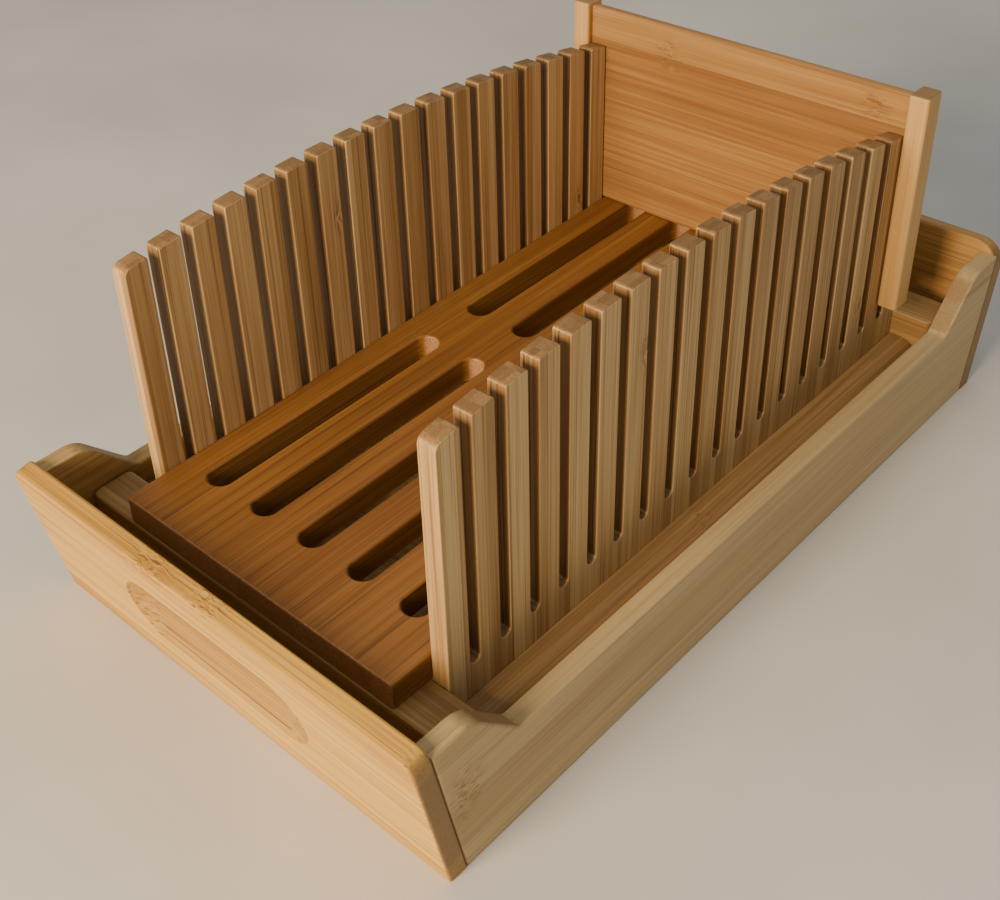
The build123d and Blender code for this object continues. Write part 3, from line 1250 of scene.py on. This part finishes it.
@dataclass
class SlicingFrame(SubAssembly):
    """The base board, its crossbars and rails, and the two slotted panels."""

    body: str = "slicing_frame"
    slot_pitch: float = 14.0
    slot_count: int = 18
    slot_width: float = 4.5
    slot_floor_z: float = 43.0
    panel_inner_x: float = 64.0
    panel_thickness: float = 7.0
    panel_half_length: float = 131.0
    panel_foot_z: float = 12.0
    panel_foot_radius: float = 0.8
    arch_radius: float = 720.0
    arch_crown_y: float = -38.0
    arch_crown_z: float = 140.2
    shoulder_radius: float = 3.5
    tip_radius: float = 1.1
    panel_ease: float = 0.45
    base_top_z: float = 51.5
    base_thickness: float = 11.0
    base_half_length: float = 147.5
    base_corner_radius: float = 1.2
    base_ease: float = 1.0
    crumb_rows: tuple[int, ...] = (-1, 1)
    crumb_columns: tuple[int, ...] = (-2, -1, 0, 1, 2)
    crumb_width: float = 10.0
    crumb_pitch: float = 23.5
    crumb_length: float = 113.0
    crumb_middle_y: float = 67.5
    crossbar_inner_y: float = 131.0
    crossbar_outer_y: float = 148.0
    crossbar_half_length: float = 87.2
    crossbar_top_z: float = 40.5
    crossbar_radius: float = 3.0
    crossbar_ease: float = 0.9
    foot_z: float = 8.2
    rail_width: float = 12.5
    rail_top_z: float = 30.0
    rail_radius: float = 8.0
    rail_corner_radius: float = 0.6
    rail_ease: float = 0.3
    # Carbonised bamboo is steamed until its sugars brown, so it shows darker and plainer
    base_finish: LaminatedBamboo = LaminatedBamboo(
        "carbonised_bamboo_base_board",
        pale="#9E7039",
        honey="#895C2B",
        toast="#70471F",
        fibre="#4A2C13",
        # Painted light: the cut ends are much lighter than the face, to lift the front end face out of the
        # front board's shadow
        end="#B58A60",
        strip_mm=31.0,
        streak_contrast=0.85,
        knuckle_depth=0.0,
        seed=9.4,
    )
    strip_finish: LaminatedBamboo = LaminatedBamboo(
        "planed_bamboo_frame_strip",
        pale="#BC9B62",
        honey="#A07E4B",
        toast="#826339",
        strip_mm=17.0,
        knuckle_depth=0.0,
        seed=11.8,
    )
    steel: ZincPlatedSteel = ZincPlatedSteel()

    def panel_finish(self, side: Side) -> LaminatedBamboo:
        """Narrow strips stood on edge, so that the slats show fine upright lines.

        Args:
            side: The side of the frame that the panel stands on.

        Returns:
            The panel's finish.
        """
        return LaminatedBamboo(
            f"edge_pressed_bamboo_{side.word}_panel",
            pale="#CFB07A",
            honey="#BC9864",
            toast="#9F7B4B",
            fibre="#694521",
            end="#80613A",
            strip_mm=5.5,
            layer_mm=2.45,
            strip_contrast=0.55,
            streak_contrast=0.95,
            fibre_depth=0.5,
            knuckles=(
                Knuckle(along=113.0, across=-37.4, reach=9.0, spread=5.0),
                Knuckle(along=58.0, across=100.0, reach=8.0, spread=4.5),
            ),
            knuckle_depth=0.0,
            seed=13.1 + side.value,
            # Painted shade on the walls of the knife slots
            slot_shade_within_mm=self.panel_half_length - 1.0,
        )

    def build(self) -> None:
        """Build and dress every piece of the frame."""
        self.base_board()
        for end in End:
            self.crossbar(end)
        for side in Side:
            self.rail(side)
            self.panel(side)
            self.dress(f"{side.word}_panel_screws", self.steel)
        self.dress("rail_dowels", BEECH_DOWEL)
        self.dress("base_screws", self.steel)

    def base_board(self) -> None:
        """Build the raised board between the panels, with its two rows of crumb slots."""
        slot = stadium((self.crumb_length - self.crumb_width) / 2, self.crumb_width / 2, steps=16)
        holes = tuple(
            [(u + row * self.crumb_middle_y, v + column * self.crumb_pitch) for u, v in slot]
            for row in self.crumb_rows
            for column in self.crumb_columns
        )
        outline = rectangle(2 * self.base_half_length, 2 * self.panel_inner_x, self.base_corner_radius)
        blank = Blank(outline, self.base_thickness, self.base_ease, holes=holes)
        middle = self.base_top_z - self.base_thickness / 2
        board = placed(blank.mesh("raised_board_with_crumb_slots"), ALONG, -ACROSS, (0, 0, middle))
        self.seat(board, "base_board", "base_bamboo", self.base_finish)

    def crossbar(self, end: End) -> None:
        """Build the bar across the frame under one end of the base board.

        Args:
            end: The end that it carries.
        """
        depth = self.crossbar_outer_y - self.crossbar_inner_y
        height = self.crossbar_top_z - self.foot_z
        outline = rectangle(2 * self.crossbar_half_length, depth, self.crossbar_radius)
        blank = Blank(outline, height, self.crossbar_ease)
        y = end.value * (self.crossbar_outer_y + self.crossbar_inner_y) / 2
        centre = (0, y, self.foot_z + height / 2)
        bar = placed(blank.mesh(f"{end.word}_bar_of_frame"), ACROSS, ALONG, centre)
        self.seat(bar, f"{end.word}_crossbar", "frame_bamboo", self.strip_finish)

    def rail(self, side: Side) -> None:
        """Build the round-shouldered rail along the foot of a panel.

        Args:
            side: The side of the frame that it runs along.
        """
        height = self.rail_top_z - self.foot_z
        outer = -side.value * self.rail_width
        small = self.rail_corner_radius
        section = rounded(
            [
                Corner(0, 0, small),
                Corner(0, height, small),
                Corner(outer, height, self.rail_radius),
                Corner(outer, 0, small),
            ],
            steps=10,
        )
        blank = Blank(section, 2 * self.crossbar_inner_y, self.rail_ease, cut=Cut.SECTION, steps=2)
        x = side.value * (self.panel_inner_x + self.panel_thickness)
        rail = placed(blank.mesh(f"{side.word}_round_shouldered_rail"), ALONG, -ACROSS, (x, 0, self.foot_z))
        finish = LaminatedBamboo(
            f"planed_bamboo_{side.word}_rail",
            pale="#B49361",
            honey="#9B794A",
            toast="#7E5F38",
            strip_mm=30.0,
            layer_mm=30.0,
            seed=16.2 + side.value,
        )
        self.seat(rail, f"{side.word}_rail", "frame_bamboo", finish)

    def arch_z(self, y: float) -> float:
        """Height of the arched top edge at y."""
        rise = math.sqrt(self.arch_radius**2 - (y - self.arch_crown_y) ** 2)
        return self.arch_crown_z - self.arch_radius + rise

    def panel(self, side: Side) -> None:
        """Build a slotted panel: slats under one long arch, with round-bottomed knife slots.

        Args:
            side: The side of the frame that it stands on.
        """
        end = self.panel_half_length
        corners = [
            Corner(self.panel_foot_z, -end, self.panel_foot_radius),
            Corner(self.arch_z(-end), -end, self.shoulder_radius),
        ]
        for slot in range(self.slot_count):
            middle = self.slot_pitch * (slot - (self.slot_count - 1) / 2)
            half = self.slot_width / 2
            for y, top_first in ((middle - half, True), (middle + half, False)):
                mouth = Corner(self.arch_z(y), y, self.tip_radius)
                # A hair under half the width, so that the two rounds of a floor don't meet in one point
                floor = Corner(self.slot_floor_z, y, half - 0.01)
                corners += [mouth, floor] if top_first else [floor, mouth]
        corners += [
            Corner(self.arch_z(end), end, self.shoulder_radius),
            Corner(self.panel_foot_z, end, self.panel_foot_radius),
        ]
        blank = Blank(rounded(corners), self.panel_thickness, self.panel_ease, steps=3)
        x = side.value * (self.panel_inner_x + self.panel_thickness / 2)
        panel = placed(blank.mesh(f"{side.word}_slotted_arched_panel"), UP, ALONG, (x, 0, 0))
        self.seat(panel, f"{side.word}_slat_panel", "panel_bamboo", self.panel_finish(side))


# ------------------------------------------------------------------ backstop


@dataclass
class Backstop(SubAssembly):
    """The thin board between two posts that drops into any pair of knife slots."""

    body: str = "backstop"
    y: float = 119.0
    thickness: float = 3.6
    corner_radius: float = 1.5
    board_ease: float = 0.8
    foot_z: float = 51.7
    top_z: float = 139.5
    post_inner_x: float = 71.5
    post_width: float = 7.7
    post_depth: float = 10.0
    post_top_z: float = 141.0
    groove_depth: float = 5.0
    cutter_height: float = 200.0
    post_radius: float = 1.2
    post_ease: float = 0.8
    # Partly painted shade: the board's own tones, lowered further to stand for a shadow cast over its left
    # part
    board_finish: LaminatedBamboo = LaminatedBamboo(
        "flat_pressed_bamboo_backstop",
        pale="#B38B54",
        honey="#9F7440",
        toast="#875C31",
        strip_mm=27.0,
        knuckles=(
            Knuckle(along=-33.0, across=31.0, reach=7.0, spread=10.0),
            Knuckle(along=58.0, across=36.0, reach=8.0, spread=7.0),
        ),
        knuckle_depth=0.0,
        seed=21.5,
    )

    def build(self) -> None:
        """Build and dress the board and its two posts."""
        half = self.post_inner_x + self.groove_depth
        height = self.top_z - self.foot_z
        middle = (self.top_z + self.foot_z) / 2
        outline = rectangle(2 * half, height, self.corner_radius)
        blank = Blank(outline, self.thickness, self.board_ease)
        board = placed(blank.mesh("thin_backstop_board"), ACROSS, UP, (0, self.y, middle))
        self.seat(board, "backstop_board", "backstop_bamboo", self.board_finish)
        for side in Side:
            self.post(side)

    def post(self, side: Side) -> None:
        """Build a post, grooved for the board's end.

        Args:
            side: The end of the board that it caps.
        """
        height = self.post_top_z - self.foot_z
        section = rectangle(self.post_width, self.post_depth, self.post_radius)
        blank = Blank(section, height, self.post_ease, cut=Cut.SECTION)
        x = side.value * (self.post_inner_x + self.post_width / 2)
        centre = (x, self.y, self.foot_z + height / 2)
        post = placed(blank.mesh(f"{side.word}_post_of_backstop"), UP, ACROSS, centre)
        half = self.post_inner_x + self.groove_depth
        # The cutter's edges are eased by a hair only, so the groove comes out square
        groove = Blank(rectangle(2 * half, self.cutter_height), self.thickness, 0.01, steps=1)
        level = Matrix.Translation(Vector((0, self.y, self.top_z - self.cutter_height / 2)) * MM)
        carved(post, groove.mesh("groove_cutter"), level @ Matrix.Rotation(math.pi / 2, 4, "X"))
        finish = LaminatedBamboo(
            f"planed_bamboo_{side.word}_post",
            pale="#DBB67A",
            honey="#CBA163",
            toast="#AE844A",
            strip_mm=12.0,
            layer_mm=12.0,
            streak_contrast=0.6,
            fibre_depth=0.25,
            knuckle_depth=0.0,
            seed=24.0 + side.value,
        )
        self.seat(post, f"{side.word}_post", "frame_bamboo", finish)


# ------------------------------------------------------------------ studio


@dataclass
class Studio:
    """A pale surface, plain soft light, and the camera at the photograph's angle.

    Attributes:
        eye: Where the camera stands, in millimetres.
        right, up, forward: The directions of its picture's sides and of its view.
        lens: Its focal length in millimetres, on a film 36 mm wide.
        shift: How far its picture is moved sideways and up, in widths of the picture.
        surface_half_size: Half the side of the surface, in metres.
        surface_gap: How far it lies below the tray's foot, in millimetres.
        lit_place: The place that the lamps point at, in metres.
        surround: sRGB hex value of the pale room round it.
        surround_strength: How bright that room is.
    """

    eye: tuple[float, float, float] = (276.35, -333.89, 369.32)
    right: tuple[float, float, float] = (0.71441, 0.69707, -0.06090)
    up: tuple[float, float, float] = (-0.36790, 0.44823, 0.81470)
    forward: tuple[float, float, float] = (-0.59520, 0.55963, -0.57668)
    lens: float = 51.43
    shift: tuple[float, float] = (0.10, -0.10)
    surface_half_size: float = 6.0
    surface_gap: float = 0.05
    lit_place: tuple[float, float, float] = (0.0, 0.0, 0.06)
    surround: str = "#E6E8E9"
    surround_strength: float = 0.37

    def build(self) -> None:
        """Build the surface, the lights and the camera."""
        self.surface()
        self.lights()
        self.camera()

    def surface(self) -> None:
        """Lay the surface that the tray stands on."""
        made = bmesh.new()
        bmesh.ops.create_grid(made, x_segments=2, y_segments=2, size=self.surface_half_size)
        mesh = bpy.data.meshes.new("counter")
        made.to_mesh(mesh)
        made.free()
        surface = bpy.data.objects.new("counter", mesh)
        surface.location.z = -self.surface_gap * MM
        mesh.materials.append(PaleSurface().material())
        bpy.context.scene.collection.objects.link(surface)

    def lights(self) -> None:
        """Set a soft key light in front, a weak fill from above, and a pale surround."""
        for name, place, size, power, tint in (
            ("key_in_front", (0.04, -1.35, 0.62), 0.6, 38.0, "#FFE4C2"),
            ("fill_from_above", (0.0, 0.1, 1.6), 1.6, 5.0, "#FFFBF2"),
        ):
            lamp = bpy.data.lights.new(name, "AREA")
            lamp.shape = "SQUARE"
            lamp.size = size
            lamp.energy = power
            lamp.color = linear(tint)[:3]
            made = bpy.data.objects.new(name, lamp)
            made.location = place
            made.rotation_mode = "QUATERNION"
            aim = Vector(self.lit_place) - Vector(place)
            made.rotation_quaternion = aim.to_track_quat("-Z", "Y")
            bpy.context.scene.collection.objects.link(made)
        world = bpy.data.worlds.new("pale_room")
        world.use_nodes = True
        background = world.node_tree.nodes["Background"]
        background.inputs["Color"].default_value = linear(self.surround)
        background.inputs["Strength"].default_value = self.surround_strength
        bpy.context.scene.world = world

    def camera(self) -> None:
        """Set the camera as it was found from the photograph."""
        data = bpy.data.cameras.new("camera")
        data.sensor_width = 36.0
        data.lens = self.lens
        data.shift_x, data.shift_y = self.shift
        data.clip_start, data.clip_end = 0.01, 50.0
        made = bpy.data.objects.new("camera", data)
        back = [-value for value in self.forward]
        turn = Matrix((self.right, self.up, back)).transposed().to_4x4()
        made.matrix_world = Matrix.Translation(Vector(self.eye) * MM) @ turn
        bpy.context.scene.collection.objects.link(made)
        bpy.context.scene.camera = made


def main() -> None:
    """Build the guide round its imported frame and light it."""
    logging.basicConfig(level=logging.INFO, format="%(message)s")
    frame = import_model()
    log.info("the packed frame has %d nodes", len(frame["nodes"]))
    for part in (CrumbTray(), SlicingFrame(), Backstop()):
        part.build()
        log.info("%s: %d pieces", part.body, len(part.made))
    Studio().build()
    bpy.context.view_layer.update()


if __name__ == "__main__":
    main()
